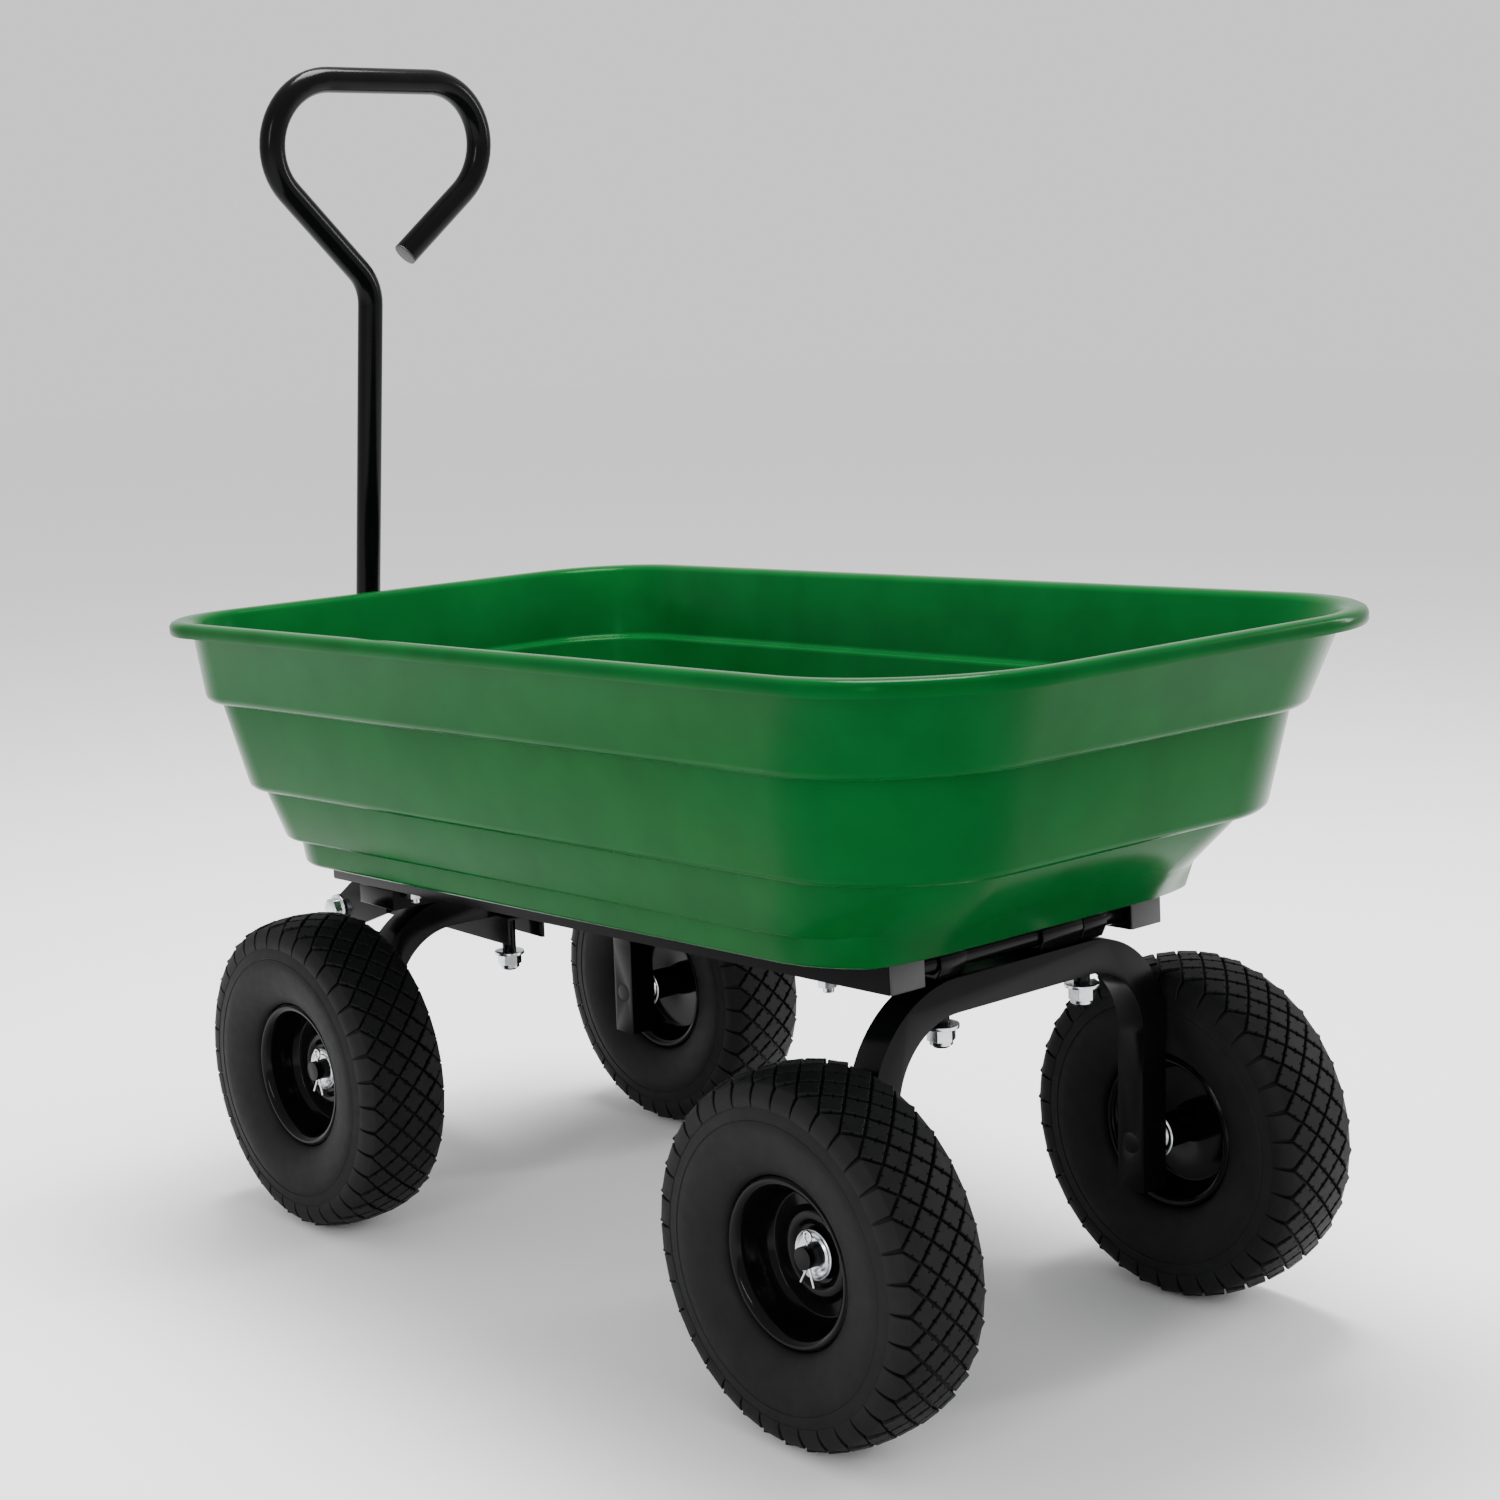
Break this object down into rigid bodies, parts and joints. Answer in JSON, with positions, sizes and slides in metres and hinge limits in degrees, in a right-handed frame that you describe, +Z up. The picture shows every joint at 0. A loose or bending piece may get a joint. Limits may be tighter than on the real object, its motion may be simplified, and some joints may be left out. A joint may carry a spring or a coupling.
{
  "type": "garden cart",
  "caption": "Four-wheel pull cart with a moulded tub that tips to the rear, a steering front axle and a folding D-loop pull handle.",
  "frame": {"origin": "on the ground, under the middle of the whole cart's box", "axes": "+X to the rear (the end the tub tips over), +Y to the cart's right, +Z up; the handle is at -X"},
  "size_m": [1.0188, 0.5194, 0.9565],
  "materials": {
    "tub_plastic": "moulded green polyethylene, glossy",
    "frame_paint": "black gloss powder coat",
    "rim_paint": "black gloss enamel on pressed steel",
    "tyre_rubber": "matt black foam tyre",
    "zinc_plate": "bright zinc plate",
    "bearing_steel": "ground steel",
    "cap_plastic": "dark moulded polyethylene",
    "nylon": "black nylon",
    "pad_rubber": "matt rubber"
  },
  "bodies": {
    "chassis": {"rear_axle_arch": "frame_paint", "rear_stub_axles": "frame_paint", "rear_axle_washers": "zinc_plate", "rear_cotter_pins": "zinc_plate", "axle_studs": "frame_paint", "axle_nuts": "zinc_plate", "king_stud": "frame_paint", "king_nut": "zinc_plate", "hinge_shoes": "frame_paint", "hinge_strap": "frame_paint", "chassis_beam_left": "frame_paint", "chassis_beam_right": "frame_paint", "front_bolster": "frame_paint", "swivel_washer": "nylon", "rest_pads": "pad_rubber"},
    "bed": {"tub": "tub_plastic", "bed_rail_left": "frame_paint", "bed_rail_right": "frame_paint", "rail_end_caps": "cap_plastic", "hinge_rod": "frame_paint", "front_cross_bar": "frame_paint", "tub_bolts": "zinc_plate", "tub_nuts": "zinc_plate"},
    "front_axle": {"front_axle_arch": "frame_paint", "front_stub_axles": "frame_paint", "front_axle_washers": "zinc_plate", "front_cotter_pins": "zinc_plate", "tongue": "frame_paint", "clevis_plates": "frame_paint", "handle_bolt": "zinc_plate", "handle_nut": "zinc_plate"},
    "handle": {"handle_tube": "frame_paint", "pivot_sleeve": "frame_paint", "loop_end_plug": "cap_plastic"},
    "wheel_front_left": {"wheel_front_left_bearings": "bearing_steel", "wheel_front_left_hub": "rim_paint", "wheel_front_left_rim_inner": "rim_paint", "wheel_front_left_rim_outer": "rim_paint", "wheel_front_left_tyre": "tyre_rubber"},
    "wheel_front_right": {"wheel_front_right_bearings": "bearing_steel", "wheel_front_right_hub": "rim_paint", "wheel_front_right_rim_inner": "rim_paint", "wheel_front_right_rim_outer": "rim_paint", "wheel_front_right_tyre": "tyre_rubber"},
    "wheel_rear_left": {"wheel_rear_left_bearings": "bearing_steel", "wheel_rear_left_hub": "rim_paint", "wheel_rear_left_rim_inner": "rim_paint", "wheel_rear_left_rim_outer": "rim_paint", "wheel_rear_left_tyre": "tyre_rubber"},
    "wheel_rear_right": {"wheel_rear_right_bearings": "bearing_steel", "wheel_rear_right_hub": "rim_paint", "wheel_rear_right_rim_inner": "rim_paint", "wheel_rear_right_rim_outer": "rim_paint", "wheel_rear_right_tyre": "tyre_rubber"}
  },
  "joints": [
    {"name": "bed_tip", "type": "hinge", "parent": "chassis", "child": "bed", "pos_m": [0.3396, 0, 0.3109], "axis": [0, 1, 0], "range_deg": [0, 75]},
    {"name": "steer", "type": "hinge", "parent": "chassis", "child": "front_axle", "pos_m": [-0.2694, 0, 0.231], "axis": [0, 0, 1], "range_deg": [-25, 25]},
    {"name": "handle_swing", "type": "hinge", "parent": "front_axle", "child": "handle", "pos_m": [-0.4964, 0, 0.2], "axis": [0, 1, 0], "range_deg": [-90, 0]},
    {"name": "spin_front_left", "type": "hinge", "parent": "front_axle", "child": "wheel_front_left", "pos_m": [-0.2694, -0.1925, 0.13], "axis": [0, 1, 0], "continuous": true},
    {"name": "spin_front_right", "type": "hinge", "parent": "front_axle", "child": "wheel_front_right", "pos_m": [-0.2694, 0.1925, 0.13], "axis": [0, 1, 0], "continuous": true},
    {"name": "spin_rear_left", "type": "hinge", "parent": "chassis", "child": "wheel_rear_left", "pos_m": [0.3366, -0.1925, 0.13], "axis": [0, 1, 0], "continuous": true},
    {"name": "spin_rear_right", "type": "hinge", "parent": "chassis", "child": "wheel_rear_right", "pos_m": [0.3366, 0.1925, 0.13], "axis": [0, 1, 0], "continuous": true}
  ]
}
